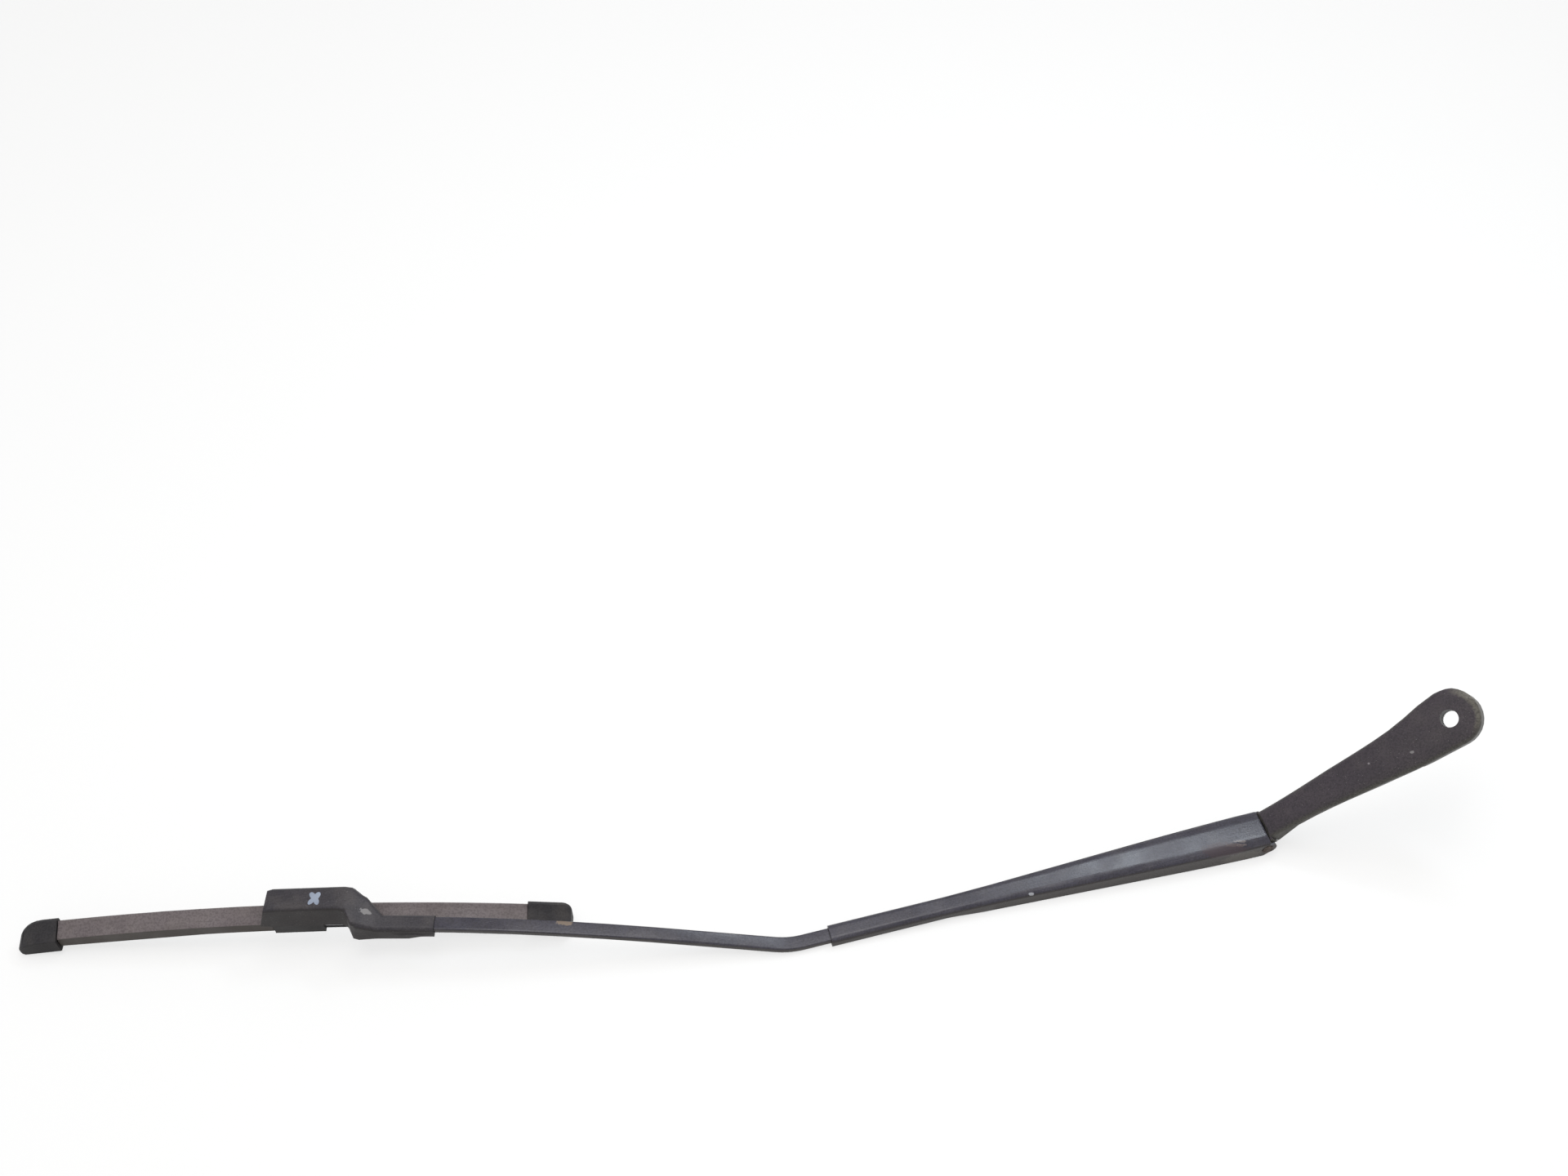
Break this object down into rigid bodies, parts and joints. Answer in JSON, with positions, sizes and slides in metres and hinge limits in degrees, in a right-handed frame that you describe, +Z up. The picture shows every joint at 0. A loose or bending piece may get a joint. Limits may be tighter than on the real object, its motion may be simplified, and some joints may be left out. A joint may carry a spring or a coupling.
{
  "type": "windscreen wiper arm",
  "caption": "Folding windscreen wiper arm: die-cast spindle head, pressed channel with tension spring, bent flat rod and hooded bracket holding a short bowed beam blade.",
  "frame": {"origin": "centre of the footprint box, on the table plane on which the folded arm lies", "axes": "+X from the blade's outer tip towards the spindle head; +Z up from the table; +Y away from the viewer's side"},
  "size_m": [0.7925, 0.1142, 0.1018],
  "materials": {
    "head_coat": "satin-matte black coat over die-cast aluminium, dulled and speckled",
    "arm_coat": "smooth satin black powder coat over steel, scuffed and chipped",
    "bracket_coat": "matte black coat over pressed steel, worn bright at one corner, with a dab of pale paint",
    "worn_pin": "peened steel with brown surface rust",
    "plain_steel": "plain zinc-grey steel, dulled",
    "spring_steel": "oiled dark spring steel",
    "bush_plastic": "natural nylon",
    "black_plastic": "moulded black plastic, faded grey",
    "cap_plastic": "dark matte moulded plastic",
    "aged_rubber": "aged grey-brown satin rubber extrusion",
    "black_rubber": "black wiping rubber"
  },
  "bodies": {
    "head": {"head": "head_coat", "hinge_bushes": "bush_plastic", "link_pin": "plain_steel"},
    "arm": {"channel": "arm_coat", "hinge_pin": "worn_pin", "rod": "arm_coat", "blade_bracket": "bracket_coat", "adaptor": "black_plastic"},
    "spring": {"tension_spring": "spring_steel"},
    "link": {"spring_link": "plain_steel"},
    "blade": {"pivot_pin": "plain_steel", "blade_base": "black_plastic", "spine_near": "spring_steel", "spine_far": "spring_steel", "rail_clips": "plain_steel", "spoiler_outer": "aged_rubber", "spoiler_inner": "aged_rubber", "wiper_rubber": "black_rubber", "end_cap_outer": "cap_plastic", "end_cap_inner": "cap_plastic"}
  },
  "joints": [
    {"name": "arm_fold", "type": "hinge", "parent": "head", "child": "arm", "pos_m": [0.28954, 0.01794, 0.007], "axis": [-0.2487, 0.9686, 0], "range_deg": [-50, 0]},
    {"name": "link_swing", "type": "hinge", "parent": "head", "child": "link", "pos_m": [0.29532, 0.01943, 0.00861], "axis": [-0.2487, 0.9686, 0], "range_deg": [-50, 0]},
    {"name": "spring_swing", "type": "hinge", "parent": "arm", "child": "spring", "pos_m": [0.18714, -0.00835, 0.00652], "axis": [-0.2487, 0.9686, 0], "range_deg": [0, 3]},
    {"name": "blade_pivot", "type": "hinge", "parent": "arm", "child": "blade", "pos_m": [-0.24166, -0.04258, 0.025], "axis": [-0.0401, 0.9992, 0], "range_deg": [-3.5, 7]}
  ],
  "couplings": [
    {"joint": "link_swing", "follows": "arm_fold", "ratio": 0.97},
    {"joint": "spring_swing", "follows": "arm_fold", "ratio": -0.0584}
  ]
}
